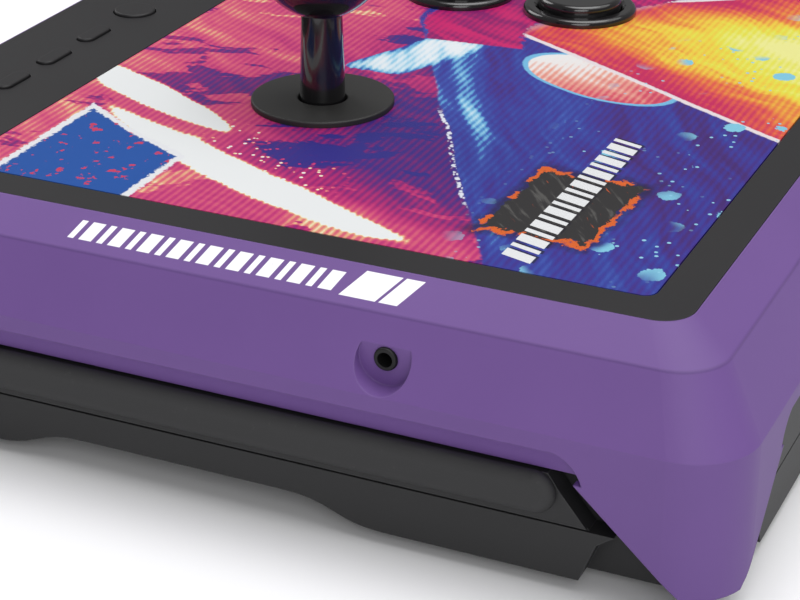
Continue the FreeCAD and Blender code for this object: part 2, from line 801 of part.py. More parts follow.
def make_lever_plate():
    half = lever_plate_length / 2
    wide = lever_plate_width / 2
    middle = block(lever_x - half + lever_flange - lever_plate_thickness,
                   lever_x + half - lever_flange + lever_plate_thickness,
                   lever_y - wide, lever_y + wide, lever_plate_low, lever_plate_top)
    plate = middle
    for side in (-1, 1):
        outer = lever_x + side * half
        inner = lever_x + side * (half - lever_flange)
        step = lever_x + side * (half - lever_flange + lever_plate_thickness)
        x0, x1 = sorted((outer, inner))
        plate = plate.fuse(block(x0, x1, lever_y - wide, lever_y + wide,
                                 plate_bottom - lever_plate_thickness, plate_bottom))
        x0, x1 = sorted((inner, step))
        plate = plate.fuse(block(x0, x1, lever_y - wide, lever_y + wide, lever_plate_low, plate_bottom))
    for x, y in lever_screw_places():
        plate = plate.cut(rod(lever_screw_radius + 0.1, (x, y, lever_plate_low - 1), (x, y, plate_top)))
    plate = plate.cut(rod(lever_hole_radius, lever_point(lever_plate_low - 1), lever_point(plate_bottom)))
    for x, y in housing_screw_places():
        plate = plate.cut(rod(1.6, (x, y, lever_plate_low - 1), (x, y, lever_plate_top + 1)))
    return plate.removeSplitter()


def make_lever_screws():
    screws = []
    for x, y in lever_screw_places():
        base = plate_bottom - lever_plate_thickness
        shank = rod(lever_screw_radius, (x, y, base), (x, y, plate_top))
        screws.append(shank.fuse(rod(3.6, (x, y, base - 2.4), (x, y, base))))
    return screws


def housing_screw_places():
    reach = housing_size / 2 + 3.5
    return [(lever_x + sx * reach, lever_y + sy * (housing_size / 2 - 5)) for sx in (-1, 1) for sy in (-1, 1)]


def make_lever_housing():
    half = housing_size / 2
    inner = half - housing_wall
    body = rounded_block(lever_x - half, lever_x + half, lever_y - half, lever_y + half, 3.0,
                         housing_bottom, lever_plate_low)
    body = body.fuse(rounded_block(lever_x - half - 7, lever_x + half + 7, lever_y - half, lever_y + half, 3.0,
                                   lever_plate_low - 3.0, lever_plate_low))
    body = body.cut(rounded_block(lever_x - inner, lever_x + inner, lever_y - inner, lever_y + inner, 1.5,
                                  housing_bottom - 1, lever_plate_low - 3.0))
    body = body.cut(rod(lever_hole_radius, lever_point(lever_plate_low - 4),
                        lever_point(lever_plate_low + 1)))
    body = body.cut(rod(trunnion_radius + running_play, (lever_x - half - 1, lever_y, pivot_height),
                        (lever_x + half + 1, lever_y, pivot_height)))
    for x, y in housing_screw_places():
        body = body.cut(rod(1.6, (x, y, lever_plate_low - 4), (x, y, lever_plate_low + 1)))
    for sx in (-1, 1):
        for sy in (-1, 1):
            x, y = lever_x + sx * (half - housing_wall), lever_y + sy * (half - housing_wall)
            body = body.fuse(rod(2.5, (x, y, switch_board_top), (x, y, housing_bottom + 1)))
    return body.removeSplitter()


def make_housing_screws():
    return [rod(1.5, (x, y, lever_plate_low - 3.0), (x, y, lever_plate_top - 0.3)).fuse(
            rod(2.8, (x, y, lever_plate_low - 4.8), (x, y, lever_plate_low - 3.0)))
            for x, y in housing_screw_places()]


def make_pivot_ring():
    z0, z1 = pivot_height - ring_height / 2, pivot_height + ring_height / 2
    ring = rod(ring_radius, lever_point(z0), lever_point(z1))
    for side in (-1, 1):
        tip = lever_x + side * (housing_size / 2)
        ring = ring.fuse(rod(trunnion_radius, (lever_x, lever_y, pivot_height), (tip, lever_y, pivot_height)))
    ring = ring.cut(rod(ring_inner, lever_point(z0 - 1), lever_point(z1 + 1)))
    return ring.cut(rod(trunnion_radius + running_play, (lever_x, lever_y - ring_radius - 1, pivot_height),
                        (lever_x, lever_y + ring_radius + 1, pivot_height)))


shaft_bottom = gate_bottom + 0.6
ball_bottom = ball_height - math.sqrt(ball_radius ** 2 - (cover_top_radius + 1.0) ** 2)


def make_lever_shaft():
    shaft = rod(shaft_radius, lever_point(shaft_bottom), lever_point(ball_height + 4))
    shaft = shaft.fuse(rod(boss_radius, lever_point(pivot_height - 4), lever_point(pivot_height + 4)))
    shaft = shaft.fuse(rod(trunnion_radius, (lever_x, lever_y - ring_radius + 0.3, pivot_height),
                           (lever_x, lever_y + ring_radius - 0.3, pivot_height)))
    clip = actuator_bottom - 1.0
    groove = tube(shaft_radius + 1, shaft_radius - 0.7, lever_point(clip), lever_point(clip + 0.8))
    return shaft.cut(groove)


def make_shaft_cover():
    low = panel_height - cover_length + 10
    outer = rod(cover_radius, lever_point(low), lever_point(panel_height + 4))
    outer = outer.fuse(cone(cover_radius, cover_top_radius, lever_x, lever_y, panel_height + 4, ball_bottom))
    return outer.cut(rod(shaft_radius + 0.05, lever_point(low - 1), lever_point(ball_bottom + 1)))


def make_ball_top():
    ball = Part.makeSphere(ball_radius, V(lever_x, lever_y, ball_height))
    flat = block(lever_x - 20, lever_x + 20, lever_y - 20, lever_y + 20, ball_height - 30, ball_bottom)
    ball = ball.cut(flat)
    return ball.cut(rod(shaft_radius + 0.02, lever_point(ball_height - 30), lever_point(ball_height + 4.2)))


def make_dust_washer():
    washer = tube(washer_radius, cover_radius + washer_play, lever_point(panel_height + 0.1),
                  lever_point(lever_top))
    return rounded_top(washer, 0.5, lever_top)


def make_dust_slide():
    top = plate_bottom - slide_gap
    return tube(washer_radius, slide_bore, lever_point(top - slide_thickness), lever_point(top))


def make_lever_spring():
    low = pivot_height + 4.0
    high = panel_height - cover_length + 10
    wire = 0.6
    helix = Part.makeHelix(2.2, high - low - 2 * wire, shaft_radius + 1.4)
    circle = Part.Wire(Part.makeCircle(wire, V(shaft_radius + 1.4, 0, 0), V(0, 1, 0)))
    coil = Part.Wire(helix.Edges).makePipeShell([circle], True, True)
    coil.translate(V(lever_x, lever_y, low + wire))
    return coil


def make_actuator():
    body = rod(actuator_radius, lever_point(actuator_bottom), lever_point(actuator_top))
    body = rounded_top(body, 1.2, actuator_top)
    return body.cut(rod(shaft_radius + 0.05, lever_point(actuator_bottom - 1), lever_point(actuator_top + 1)))


def make_shaft_clip():
    z = actuator_bottom - 1.0
    ring = tube(shaft_radius + 1.8, shaft_radius - 0.65, lever_point(z + 0.05), lever_point(z + 0.75))
    return ring.cut(block(lever_x - 1.6, lever_x + 1.6, lever_y, lever_y + 10, z - 1, z + 2))


switch_board_top = actuator_bottom + 1.2


def make_lever_switches():
    """Four microswitches round the actuator, standing on one board."""
    half = housing_size / 2 + 4
    board = rounded_block(lever_x - half, lever_x + half, lever_y - half, lever_y + half, 2.0,
                          switch_board_top - switch_board_thickness, switch_board_top)
    board = board.cut(rod(actuator_radius + 4.0, lever_point(switch_board_top - 5),
                          lever_point(switch_board_top + 5)))
    solids = [board]
    for i in range(4):
        switch = block(switch_reach, switch_reach + switch_width, -6.4, 6.4, switch_board_top, housing_bottom)
        switch = switch.fuse(block(switch_reach - 0.6, switch_reach, -1.5, 1.5,
                                   switch_board_top + 3, switch_board_top + 6))
        switch.rotate(V(0, 0, 0), V(0, 0, 1), 90 * i)
        switch.translate(V(lever_x, lever_y, 0))
        solids.append(switch)
    return solids


def make_restrictor_gate():
    half = housing_size / 2 + 1
    plate = rounded_block(lever_x - half, lever_x + half, lever_y - half, lever_y + half, 2.0,
                          gate_bottom, gate_top)
    opening = shaft_radius / math.cos(math.radians(lever_tilt)) + 0.35
    opening += math.tan(math.radians(lever_tilt)) * (pivot_height - gate_bottom)
    plate = plate.cut(rounded_block(lever_x - opening, lever_x + opening, lever_y - opening,
                                    lever_y + opening, 1.5, gate_bottom - 1, gate_top + 1))
    for sx in (-1, 1):
        for sy in (-1, 1):
            x, y = lever_x + sx * (half - 4), lever_y + sy * (half - 4)
            plate = plate.fuse(rod(2.5, (x, y, gate_top),
                                   (x, y, switch_board_top - switch_board_thickness)))
    return plate


# ---------------------------------------------------------------- base
def arch_tool(extra, depth):
    """The region under the raised middle of a side edge, drawn against the +X wall."""
    z = feet_height
    rise = arch_rise + extra
    flat, far = arch_flat, arch_flat + arch_run
    middle = (flat + far) / 2
    quarter = arch_run / 4
    radius = ((arch_run / 2) ** 2 + (rise / 2) ** 2) / rise
    sag = radius - math.sqrt(radius ** 2 - quarter ** 2)
    edges = []
    points = [V(-depth, -far, z), V(-depth, -middle, z + rise / 2), V(-depth, -flat, z + rise),
              V(-depth, flat, z + rise), V(-depth, middle, z + rise / 2), V(-depth, far, z)]
    mids = [V(-depth, -far + quarter, z + sag), V(-depth, -flat - quarter, z + rise - sag),
            None, V(-depth, flat + quarter, z + rise - sag), V(-depth, far - quarter, z + sag)]
    for a, m, b in zip(points, mids, points[1:]):
        edges.append(Part.Arc(a, m, b).toShape() if m else Part.makeLine(a, b))
    low = [V(-depth, far, z - 3), V(-depth, -far, z - 3)]
    edges += [Part.makeLine(points[-1], low[0]), Part.makeLine(low[0], low[1]),
              Part.makeLine(low[1], points[0])]
    return Part.Face(Part.Wire(edges)).extrude(V(depth, 0, 0))


def cheek_outline(half, top, bottom):
    """Lower side face: its ends run in from a tip at the top to the bottom edge."""
    tip = half - cheek_inset_end + 0.6
    return [(-tip, top), (tip, top), (tip - 4.0, top - 3.0), (tip - 7.8, bottom),
            (-tip + 7.8, bottom), (-tip + 4.0, top - 3.0)]


def make_lower_shell():
    outer = inset_block(base_inset, base_radius, feet_height, tray_top, base_rear_inset)
    for side in ("left", "right", "front"):
        cheek = slab_yz(cheek_outline(wall_half(side), tray_top, feet_height), -base_inset - 1, -cheek_inset)
        outer = outer.fuse(place_on(side, cheek))
    for side in ("left", "right"):
        outer = outer.cut(place_on(side, arch_tool(0.0, base_inset + 12)))
    hollow = rounded_block(-half_width + base_inset + base_wall, half_width - base_inset - base_wall,
                           -half_depth + base_inset + base_wall, rear_wall_y - base_wall,
                           base_radius - base_wall, feet_height + floor_thickness, tray_top + 1)
    for side in ("left", "right"):
        hollow = hollow.cut(place_on(side, arch_tool(floor_thickness, base_inset + 12 + floor_thickness)))
    shell = outer.cut(hollow)
    for x in hinge_places():
        for s in (-1, 1):
            inner = x + s * (hinge_arm_width / 2 + side_play)
            x0, x1 = sorted((inner, inner + s * hinge_knuckle_width))
            knuckle = block(x0, x1, rear_wall_y - 1, hinge_y, hinge_height - hinge_knuckle_radius,
                            hinge_height + hinge_knuckle_radius)
            knuckle = knuckle.fuse(rod(hinge_knuckle_radius, (x0, hinge_y, hinge_height),
                                       (x1, hinge_y, hinge_height)))
            shell = shell.fuse(knuckle.cut(rod(hinge_pin_radius + 0.02, (x0 - 1, hinge_y, hinge_height),
                                               (x1 + 1, hinge_y, hinge_height))))
    for x, y in base_screw_places():
        shell = shell.fuse(rod(4.0, (x, y, feet_height + 1), (x, y, tray_top)))
        shell = shell.cut(rod(base_screw_radius + 0.2, (x, y, feet_height - 1), (x, y, tray_top + 1)))
        shell = shell.cut(rod(base_screw_head + 0.4, (x, y, feet_height - 1), (x, y, feet_height + 2.0)))
    return shell.removeSplitter()


base_screw_radius = 1.6
base_screw_head = 3.0


def base_screw_places():
    inset = base_inset + 8.0
    x, y = half_width - inset, half_depth - inset
    places = [(sx * x, sy * (half_depth - 62)) for sx in (-1, 1) for sy in (-1, 1)]
    places += [(sx * (half_width - 70), -y) for sx in (-1, 1)]
    return places


def make_base_screws():
    screws = []
    for x, y in base_screw_places():
        head = rod(base_screw_head, (x, y, feet_height + 0.4), (x, y, feet_height + 2.0))
        shank = rod(base_screw_radius, (x, y, feet_height + 2.0), (x, y, tray_top + 7.0))
        screws.append(head.fuse(shank))
    return screws


def make_base_rim():
    rim = inset_block(base_inset, base_radius, tray_top, base_top, base_rear_inset)
    rim = rim.cut(rounded_block(-half_width + base_inset + base_wall, half_width - base_inset - base_wall,
                                -half_depth + base_inset + base_wall, rear_wall_y - base_wall,
                                base_radius - base_wall, tray_top - 1, base_top + 1))
    for x, y in base_screw_places():
        near = base_inset + base_wall - 0.5
        if abs(y) > half_depth - 30:
            boss = block(x - 4, x + 4, -half_depth + near, y, tray_top, tray_top + 9)
        else:
            x0, x1 = sorted((x, math.copysign(half_width - near, x)))
            boss = block(x0, x1, y - 4, y + 4, tray_top, tray_top + 9)
        boss = boss.fuse(rod(4.0, (x, y, tray_top), (x, y, tray_top + 9)))
        rim = rim.fuse(boss.cut(rod(base_screw_radius + 0.05, (x, y, tray_top - 1), (x, y, tray_top + 7.2))))
    opening = latch_width / 2 + latch_play + 3.4
    rim = rim.cut(block(-opening, opening, -half_depth + base_inset - 1,
                        -half_depth + base_inset + base_wall + 1, tray_top - 1, base_top + 1))
    return rim.removeSplitter()


def block_outline(half):
    low = half - block_inset
    return [(-low, tray_top), (low, tray_top), (low - block_rake, tray_top + 8.7),
            (low - block_rake - 2.6, base_top), (-low + block_rake + 2.6, base_top),
            (-low + block_rake, tray_top + 8.7)]


def make_wall_block(half):
    """Trapezoid block on the base's wall, with a fine groove along its foot."""
    body = slab_yz(block_outline(half), -base_inset, -cheek_inset)
    groove = block(-cheek_inset - 0.8, -cheek_inset + 1, -half, half, tray_top, tray_top + 0.5)
    return body.cut(groove)


def make_side_blocks():
    return [place_on(side, make_wall_block(half_depth)) for side in ("left", "right")]


def make_front_block():
    body = place_on("front", make_wall_block(half_width))
    hole = latch_width / 2 + latch_play
    tall = latch_height / 2 + latch_play
    opening = block(-hole, hole, -half_depth - 1, -half_depth + base_inset + 1,
                    latch_level - tall, latch_level + tall)
    return body.cut(opening)


def make_grip_pad():
    """Soft rounded pad along a side block: a long oval with a domed face."""
    reach = half_depth - pad_inset
    height = pad_top - pad_bottom
    middle = (pad_top + pad_bottom) / 2
    r = height / 2 - 0.01
    x0, x1 = -cheek_inset, -cheek_inset + pad_bulge
    wires = []
    for x, shrink in ((x0, 0.0), (x0 + 0.5 * pad_bulge, 0.25), (x0 + 0.85 * pad_bulge, 1.3), (x1, 3.0)):
        wire = rounded_wire(-reach + shrink, reach - shrink, -height / 2 + shrink, height / 2 - shrink,
                            r - shrink, 0)
        wire.rotate(V(0, 0, 0), V(0, 0, 1), 90)
        wire.rotate(V(0, 0, 0), V(0, 1, 0), 90)
        wire.translate(V(x, 0, middle))
        wires.append(wire)
    return Part.makeLoft(wires, True, False)


def make_grip_pads():
    pad = make_grip_pad()
    return [place_on(side, pad) for side in ("left", "right")]


def foot_places():
    x, y = half_width - foot_edge, half_depth - foot_edge
    return [(sx * x, sy * y) for sx in (-1, 1) for sy in (-1, 1)] + [(0, -y), (0, y)]


def make_rubber_feet():
    feet = []
    for x, y in foot_places():
        foot = cone(foot_radius - 1.0, foot_radius, x, y, 0, feet_height)
        feet.append(foot)
    return feet


weight_thickness = 2.0
weight_margin = 30.0


def make_weight_plate():
    """Steel ballast screwed flat to the tray's floor, right of the lever."""
    z = feet_height + floor_thickness
    x0 = lever_x + housing_size / 2 + 14
    return rounded_block(x0, half_width - base_inset - weight_margin, -half_depth + 40, half_depth - 40, 4.0,
                         z, z + weight_thickness)


def make_hinge_pins():
    reach = hinge_arm_width / 2 + side_play + hinge_knuckle_width
    return [rod(hinge_pin_radius, (x - reach, hinge_y, hinge_height), (x + reach, hinge_y, hinge_height))
            for x in hinge_places()]


latch_front = -half_depth + cheek_inset
latch_back = -half_depth + base_inset
guide_depth = 5.5


def make_latch_guide():
    """Sleeve behind the front block that carries the latch button's flange."""
    half = latch_width / 2 + latch_play + 3.0
    guide = block(-half, half, latch_back, latch_back + guide_depth, tray_top, base_top - 0.6)
    inner = latch_width / 2 + 1.6 + latch_play
    tall = latch_height / 2 + latch_play
    return guide.cut(block(-inner, inner, latch_back - 1, latch_back + guide_depth + 1,
                           latch_level - tall, latch_level + tall))


def make_latch_button():
    half, tall = latch_width / 2, latch_height / 2
    y = latch_front - 1.8
    face = block(-half, half, y, latch_back + 0.4, latch_level - tall, latch_level + tall)
    face = face.makeFillet(1.5, [e for e in face.Edges if e.BoundBox.YLength > 1])
    face = face.makeFillet(0.6, [e for e in face.Edges if abs(e.BoundBox.YMax - y) < 1e-6])
    flange = block(-half - 1.6, half + 1.6, latch_back + 0.4, latch_back + 1.8,
                   latch_level - tall, latch_level + tall)
    nose_end = striker_y() - 0.6
    nose = block(-5.0, 5.0, latch_back + 1.8, nose_end, latch_level - 1.75, latch_level + 1.75)
    return face.fuse(flange).fuse(nose)


# ---------------------------------------------------------------- write every piece
os.makedirs("parts", exist_ok=True)

save("lower_shell", make_lower_shell())
save("base_rim", make_base_rim())
save("side_blocks", make_side_blocks())
save("front_block", make_front_block())
save("grip_pads", make_grip_pads())
save("rubber_feet", make_rubber_feet())
save("weight_plate", make_weight_plate())
save("base_screws", make_base_screws())
save("hinge_pins", make_hinge_pins())
save("latch_guide", make_latch_guide())
save("latch_button", make_latch_button())
save("top_cover", make_top_cover())
save("top_frame", make_top_frame())
save("frame_screws", make_frame_screws())
save("top_plate", make_top_plate())
save("printed_panel", make_art_panel())
save("hinge_arms", make_hinge_arms())
save("latch_striker", make_latch_striker())
save("jack_socket", make_jack_socket())
save("jack_board", make_jack_board())
save("usb_socket", make_usb_socket())
save("function_board", make_function_board())
save("function_switches", make_function_switches())
save("main_board", make_main_board())
save("board_spacers", make_board_spacers())
save("light_windows", make_light_windows())
save("button_housings", [make_button_housing(x, y) for x, y in button_places()])
save("button_nuts", [make_button_nut(x, y) for x, y in button_places()])
save("button_switches", [make_button_switch(x, y) for x, y in button_places()])
for number, (x, y) in enumerate(button_places(), 1):
    save("button_cap_%d" % number, make_button_cap(x, y))
for name, x, y in key_places():
    save(name, make_key(x, y))
save("home_key", make_home_key())
save("touch_pad", make_touch_pad())
for name, x, y in slider_places():
    save(name, make_slider(x, y))
save("lever_plate", make_lever_plate())
save("lever_screws", make_lever_screws())
save("lever_housing", make_lever_housing())
save("housing_screws", make_housing_screws())
save("pivot_ring", make_pivot_ring())
save("lever_shaft", make_lever_shaft())
save("shaft_cover", make_shaft_cover())
save("ball_top", make_ball_top())
save("dust_washer", make_dust_washer())
save("dust_slide", make_dust_slide())
save("lever_spring", make_lever_spring())
save("lever_actuator", make_actuator())
save("shaft_clip", make_shaft_clip())
save("lever_switches", make_lever_switches())
save("restrictor_gate", make_restrictor_gate())
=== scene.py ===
import math

import bpy
from mathutils import Matrix, Vector


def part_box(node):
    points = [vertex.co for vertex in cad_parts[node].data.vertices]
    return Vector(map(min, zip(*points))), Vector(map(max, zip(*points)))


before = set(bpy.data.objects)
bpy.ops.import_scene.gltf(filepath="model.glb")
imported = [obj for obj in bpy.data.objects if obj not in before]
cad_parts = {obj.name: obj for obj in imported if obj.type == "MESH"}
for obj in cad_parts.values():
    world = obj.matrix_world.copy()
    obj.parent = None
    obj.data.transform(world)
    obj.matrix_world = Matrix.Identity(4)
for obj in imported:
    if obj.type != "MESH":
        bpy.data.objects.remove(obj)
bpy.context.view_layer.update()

# ---------------------------------------------------------------- studio
# The controller stands on a pale sweep in a soft studio: one broad light over the panel,
# a lower one on the player's left and a faint one behind that picks out the far edges.
stage_size = 60.0
bpy.ops.mesh.primitive_plane_add(size=stage_size, location=(0, 0, 0))
floor = bpy.context.object
floor.name = "studio_floor"
bpy.ops.object.transform_apply(location=True, rotation=True, scale=True)


def srgb(red, green, blue):
    """A print or paint colour given as it looks, 0 to 255 a channel, as linear light."""
    return tuple((c / 255 / 12.92) if c <= 10 else ((c / 255 + 0.055) / 1.055) ** 2.4
                 for c in (red, green, blue)) + (1.0,)


class Signal:
    """A shader socket that Python arithmetic can work on."""

    def __init__(self, finish, socket):
        self.finish = finish
        self.socket = socket

    def calc(self, operation, *others, clamp=False):
        values = dict(enumerate((self,) + others))
        return self.finish.add("Math", {"operation": operation, "use_clamp": clamp}, values)

    def __add__(self, other):
        return self.calc("ADD", other)

    def __sub__(self, other):
        return self.calc("SUBTRACT", other)

    def __rsub__(self, other):
        return self.finish.add("Math", {"operation": "SUBTRACT"}, {0: other, 1: self})

    def __mul__(self, other):
        return self.calc("MULTIPLY", other)

    __radd__ = __add__
    __rmul__ = __mul__

    def abs(self):
        return self.calc("ABSOLUTE")

    def sin(self):
        return self.calc("SINE")

    def lowest(self, other):
        return self.calc("MINIMUM", other)

    def highest(self, other):
        return self.calc("MAXIMUM", other)

    def ramp(self, low, high):
        """0 below low, 1 above high, smooth between; low may be the larger one."""
        return self.finish.add("MapRange", {"interpolation_type": "SMOOTHSTEP"},
                               {"Value": self, "From Min": low, "From Max": high})


class Finish:
    """A procedural surface finish on one principled shader."""

    def __init__(self, name):
        self.material = bpy.data.materials.new(name)
        self.material.use_nodes = True
        self.tree = self.material.node_tree
        self.shader = self.tree.nodes["Principled BSDF"]

    def add(self, kind, settings=None, values=None, output=0):
        node = self.tree.nodes.new("ShaderNode" + kind)
        for key, value in (settings or {}).items():
            if key == "stops":
                ramp = node.color_ramp.elements
                while len(ramp) < len(value):
                    ramp.new(0.5)
                for stop, (position, colour) in zip(ramp, value):
                    stop.position = position
                    stop.color = colour
            else:
                setattr(node, key, value)
        for key, value in (values or {}).items():
            self.plug(node.inputs[key], value)
        return Signal(self, node.outputs[output])

    def plug(self, socket, value):
        if isinstance(value, Signal):
            self.tree.links.new(value.socket, socket)
        else:
            socket.default_value = value

    def set(self, **values):
        for key, value in values.items():
            self.plug(self.shader.inputs[key.replace("_", " ")], value)
        return self

    def place(self):
        return self.add("TexCoord", output=3)

    def axes(self, vector):
        node = self.tree.nodes.new("ShaderNodeSeparateXYZ")
        self.plug(node.inputs[0], vector)
        return [Signal(self, out) for out in node.outputs]

    def noise(self, vector, scale, detail=2.0, roughness=0.5, stretch=None):
        if stretch:
            vector = self.add("Mapping", {}, {"Vector": vector, "Scale": stretch})
        return self.add("TexNoise", {}, {"Vector": vector, "Scale": scale, "Detail": detail,
                                         "Roughness": roughness})

    def blend(self, factor, below, above):
        return self.add("Mix", {"data_type": "RGBA"}, {0: factor, 6: below, 7: above}, output=2)

    def relief(self, height, distance, normal=None, strength=1.0):
        values = {"Strength": strength, "Distance": distance, "Height": height}
        if normal:
            values["Normal"] = normal
        return self.add("Bump", {}, values)

    def soft_edges(self, radius):
        """Rounds the sharp moulded or machined edges by a small radius."""
        return self.add("Bevel", {"samples": 4}, {"Radius": radius})

    def painted_edge_highlight(self, rounded):
        """1 on sharp outer edges, 0 on flat faces: the mask for a painted edge highlight."""
        flat = self.add("NewGeometry", output=1)
        facing = self.add("VectorMath", {"operation": "DOT_PRODUCT"}, {0: rounded, 1: flat}, output=1)
        return facing.ramp(0.995, 0.85)


def paint_node(name, finish):
    """Gives a CAD node its finish."""
    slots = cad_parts[name].data.materials
    slots.clear()
    slots.append(finish.material)


floor_finish = Finish("studio_sweep")
floor_grain = floor_finish.noise(floor_finish.place(), 3.0, 3.0)
floor_finish.set(Base_Color=floor_finish.blend(floor_grain, srgb(236, 236, 238), srgb(243, 243, 244)),
                 Roughness=0.75)
floor.data.materials.append(floor_finish.material)

world = bpy.data.worlds.new("studio_air")
world.use_nodes = True
world.node_tree.nodes["Background"].inputs["Color"].default_value = (1.0, 1.0, 1.0, 1.0)
world.node_tree.nodes["Background"].inputs["Strength"].default_value = 0.24
bpy.context.scene.world = world
bpy.context.scene.view_settings.view_transform = "Standard"


def soft_light(name, place, target, width, power):
    light = bpy.data.lights.new(name, "AREA")
    light.shape = "DISK"
    light.size = width
    light.energy = power
    lamp = bpy.data.objects.new(name, light)
    bpy.context.scene.collection.objects.link(lamp)
    way = Vector(target) - Vector(place)
    lamp.matrix_world = Matrix.Translation(place) @ way.to_track_quat("-Z", "Y").to_matrix().to_4x4()


sky = bpy.data.lights.new("ceiling_wash", "SUN")
sky.angle = math.radians(70)
sky.energy = 1.5
ceiling = bpy.data.objects.new("ceiling_wash", sky)
bpy.context.scene.collection.objects.link(ceiling)
ceiling.matrix_world = Vector((0.12, -0.25, 1.0)).to_track_quat("Z", "Y").to_matrix().to_4x4()
soft_light("over_panel", (0.15, -0.25, 1.9), (-0.05, 0, 0.05), 1.5, 15)
soft_light("player_left", (-1.5, -0.7, 0.8), (-0.15, 0, 0.03), 1.2, 10)
soft_light("behind", (0.6, 1.7, 1.3), (0, 0, 0.05), 1.2, 10)

# ---------------------------------------------------------------- camera
# A long lens off the front left corner, looking down over the panel towards the far right.
eye = Vector((-0.5930, -0.2349, 0.2739))
look_turn = math.radians(24.31)
look_down = math.radians(25.925)
look_roll = math.radians(0.234)
forward = Vector((math.cos(look_down) * math.cos(look_turn), math.cos(look_down) * math.sin(look_turn),
                  -math.sin(look_down)))
level_right = Vector((math.sin(look_turn), -math.cos(look_turn), 0))
level_up = level_right.cross(forward)
right = level_right * math.cos(look_roll) + level_up * math.sin(look_roll)
up = right.cross(forward)
lens = bpy.data.cameras.new("long_lens")
lens.sensor_width = 36.0
lens.lens = 100.6
lens.clip_start = 0.01
camera = bpy.data.objects.new("camera", lens)
bpy.context.scene.collection.objects.link(camera)
camera.matrix_world = Matrix.Translation(eye) @ Matrix((right, up, -forward)).transposed().to_4x4()
bpy.context.scene.camera = camera

# ---------------------------------------------------------------- top cover
# The lid's skirt: one injection moulding in purple ABS with a fine spark-eroded texture.
# It is screwed up to the black frame and carries a pad-printed row of white marks on its band.
cover_low, cover_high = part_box("top_cover")

purple = Finish("purple_moulding")
place = purple.place()
across, along, height = purple.axes(place)
rounded = purple.soft_edges(0.0005)
edge_highlight = purple.painted_edge_highlight(rounded)
mottle = purple.noise(place, 35.0, 3.0)
tone = purple.blend(mottle, srgb(101, 72, 134), srgb(107, 77, 140))
# sharp edges lightened towards pale purple: a painted highlight along the edges
tone = purple.blend(edge_highlight * 0.25, tone, srgb(146, 122, 178))

# a faint parting line in the tooling runs round the crease, pressed in by the bump; its darker colour is
# painted shade along the crease
crease_drop = 0.0060
crease_height = cover_high.z - crease_drop
parting_line_and_shade = (height - crease_height + 0.0001).abs().ramp(0.00045, 0.0001)
# darker purple along the crease: painted shade
tone = purple.blend(parting_line_and_shade * 0.35, tone, srgb(70, 48, 100))

# printed marks: a row of slanted bars and a split flag, along the band of the left wall
band_width = 11.7
band_inner_edge = cover_low.x + 0.0210
up_band = (height - crease_height) * (band_width / crease_drop) - 0.5 * band_width
on_left_wall = across.ramp(band_inner_edge + 0.0005, band_inner_edge)


def bars(finish, position, first, widths, gap):
    """Bars side by side along one direction, in millimetres."""
    total = None
    start = first
    for width in widths:
        middle = start + width / 2
        bar = (position - middle).abs().ramp(width / 2 + 0.06, width / 2 - 0.06)
        total = bar if total is None else total.highest(bar)
        start += width + gap
    return total


rearward = along * 1000.0 + 36.5 + up_band * 0.32
row = bars(purple, rearward, 0.0, (3.4, 1.6) * 9, 1.4) * up_band.abs().ramp(2.75, 2.65)
flag_height = up_band - 0.4
flag_place = along * 1000.0 + 47.0 + flag_height * 0.55
flag = flag_place.abs().ramp(7.2, 7.1) * flag_height.abs().ramp(3.8, 3.7)
flag = flag * (flag_place + 2.2).abs().ramp(0.35, 0.5)
marks = row.highest(flag) * on_left_wall
ink_edge = purple.noise(place, 2500.0, 1.0)
marks = marks * ink_edge.ramp(0.16, 0.24)
tone = purple.blend(marks, tone, srgb(240, 239, 244))
spark = purple.noise(place, 4200.0, 2.0, 0.6)
grain = purple.noise(place, 900.0, 2.0)
purple.set(Base_Color=tone, Roughness=0.52 + mottle * 0.08 - marks * 0.12, Specular_IOR_Level=0.35,
           Normal=purple.relief(spark * 0.7 + grain * 0.3 - parting_line_and_shade * 1.5, 0.00004, rounded, 0.35))
paint_node("top_cover", purple)

# ---------------------------------------------------------------- black mouldings
# Base rim, tray, side and front blocks are black ABS from one tool family, with the same satin
# texture; they are screwed together from below.
black = Finish("black_moulding")
place = black.place()
rounded = black.soft_edges(0.0004)
edge_highlight = black.painted_edge_highlight(rounded)
mottle = black.noise(place, 28.0, 3.0)
tone = black.blend(mottle, srgb(31, 31, 32), srgb(38, 38, 39))
# sharp edges lightened towards grey: a painted highlight along the edges
tone = black.blend(edge_highlight * 0.35, tone, srgb(96, 96, 98))
spark = black.noise(place, 3600.0, 2.0, 0.6)
black.set(Base_Color=tone, Roughness=0.52 + mottle * 0.1, Specular_IOR_Level=0.4,
          Normal=black.relief(spark, 0.00004, rounded, 0.4))
for node in ("lower_shell", "base_rim", "side_blocks", "front_block", "latch_guide", "latch_button",
             "button_nuts", "button_switches", "lever_housing", "lever_switches", "restrictor_gate"):
    paint_node(node, black)

# ---------------------------------------------------------------- top frame
# Black satin bezel with the rear control strip, moulded in one piece and let into the cover.
bezel = Finish("bezel_moulding")
place = bezel.place()
rounded = bezel.soft_edges(0.0003)
edge_highlight = bezel.painted_edge_highlight(rounded)
mottle = bezel.noise(place, 22.0, 3.0)
tone = bezel.blend(mottle, srgb(30, 29, 31), srgb(36, 35, 37))
# sharp edges lightened towards grey: a painted highlight along the edges
tone = bezel.blend(edge_highlight * 0.3, tone, srgb(100, 100, 103))
spark = bezel.noise(place, 5200.0, 2.0, 0.6)
bezel.set(Base_Color=tone, Roughness=0.44 + mottle * 0.1, Specular_IOR_Level=0.35,
          Normal=bezel.relief(spark, 0.00003, rounded, 0.35))
for node in ("top_frame", "left_key_1", "left_key_2", "left_key_3", "left_key_4", "home_key", "touch_pad",
             "lock_slider", "mode_slider"):
    paint_node(node, bezel)

